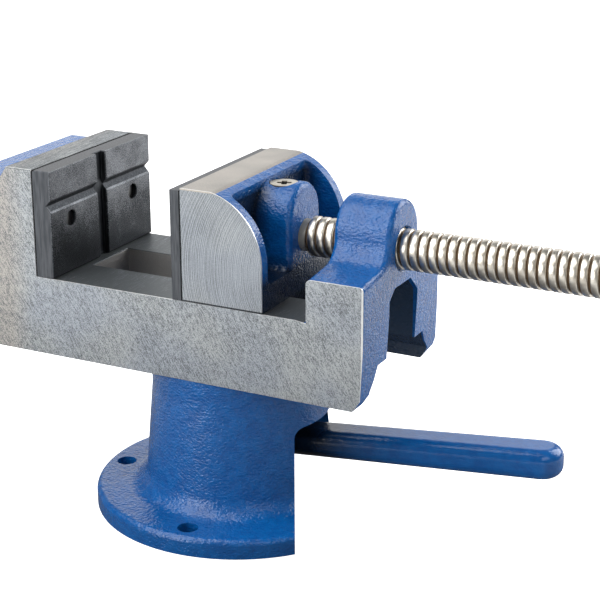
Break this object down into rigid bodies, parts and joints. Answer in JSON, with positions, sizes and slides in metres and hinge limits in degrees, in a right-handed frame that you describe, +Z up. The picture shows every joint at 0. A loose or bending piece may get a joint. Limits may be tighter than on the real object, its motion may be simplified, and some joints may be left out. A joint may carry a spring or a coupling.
{
  "type": "drill press vise",
  "caption": "Drill press vise with a sliding jaw and lead screw, turning on a round swivel pedestal that a side lever clamps.",
  "frame": {"origin": "on the swivel axis, at the underside of the mounting flange", "axes": "+Z up along the swivel axis, +X along the lead screw towards its handle"},
  "size_m": [0.3, 0.1236, 0.1442],
  "materials": {
    "blue_enamel_casting": "gloss blue enamel on rough casting, with an orange peel",
    "enamel_and_ground_iron": "blue enamel casting with bare ground iron on its sides, ways and lands",
    "dark_jaw_steel": "dark tool steel, milled and oiled",
    "nickel_bright_steel": "bright rolled steel with a nickel tone",
    "turned_steel": "turned bright steel",
    "plain_steel": "plain steel hardware"
  },
  "bodies": {
    "base": {"pedestal": "blue_enamel_casting", "clamp_washer": "plain_steel"},
    "vise": {"vise_body": "enamel_and_ground_iron", "fixed_jaw_plate": "dark_jaw_steel", "fixed_jaw_plate_screws": "plain_steel", "swivel_bolt": "plain_steel", "stop_ring": "plain_steel"},
    "jaw": {"moving_jaw": "enamel_and_ground_iron", "moving_jaw_plate": "dark_jaw_steel", "moving_jaw_plate_screws": "plain_steel", "keeper_plate": "plain_steel", "keeper_screws": "plain_steel", "thrust_disc": "plain_steel", "spindle_retaining_screw": "nickel_bright_steel"},
    "spindle": {"lead_screw": "nickel_bright_steel", "spindle_head": "turned_steel", "spindle_head_pin": "turned_steel"},
    "bar": {"tommy_bar": "turned_steel", "bar_knob_upper": "turned_steel", "bar_knob_lower": "turned_steel"},
    "lever": {"clamp_lever": "blue_enamel_casting"}
  },
  "joints": [
    {"name": "swivel", "type": "hinge", "parent": "base", "child": "vise", "pos_m": [0, 0, 0.0644], "axis": [0, 0, 1], "continuous": true},
    {"name": "jaw_slide", "type": "slide", "parent": "vise", "child": "jaw", "axis": [1, 0, 0], "range_m": [-0.05642, 0.01842]},
    {"name": "spindle_turn", "type": "hinge", "parent": "jaw", "child": "spindle", "pos_m": [0.0341, 0, 0.1203], "axis": [1, 0, 0], "range_deg": [-5076, 1656]},
    {"name": "bar_slide", "type": "slide", "parent": "spindle", "child": "bar", "axis": [0, 0, 1], "range_m": [0, 0.0498]},
    {"name": "lever_swing", "type": "hinge", "parent": "base", "child": "lever", "pos_m": [0, 0, 0.0285], "axis": [0, 0, 1], "range_deg": [-21, 18.5]}
  ],
  "couplings": [
    {"joint": "jaw_slide", "follows": "spindle_turn", "m_per_rad": 0.00063662}
  ]
}
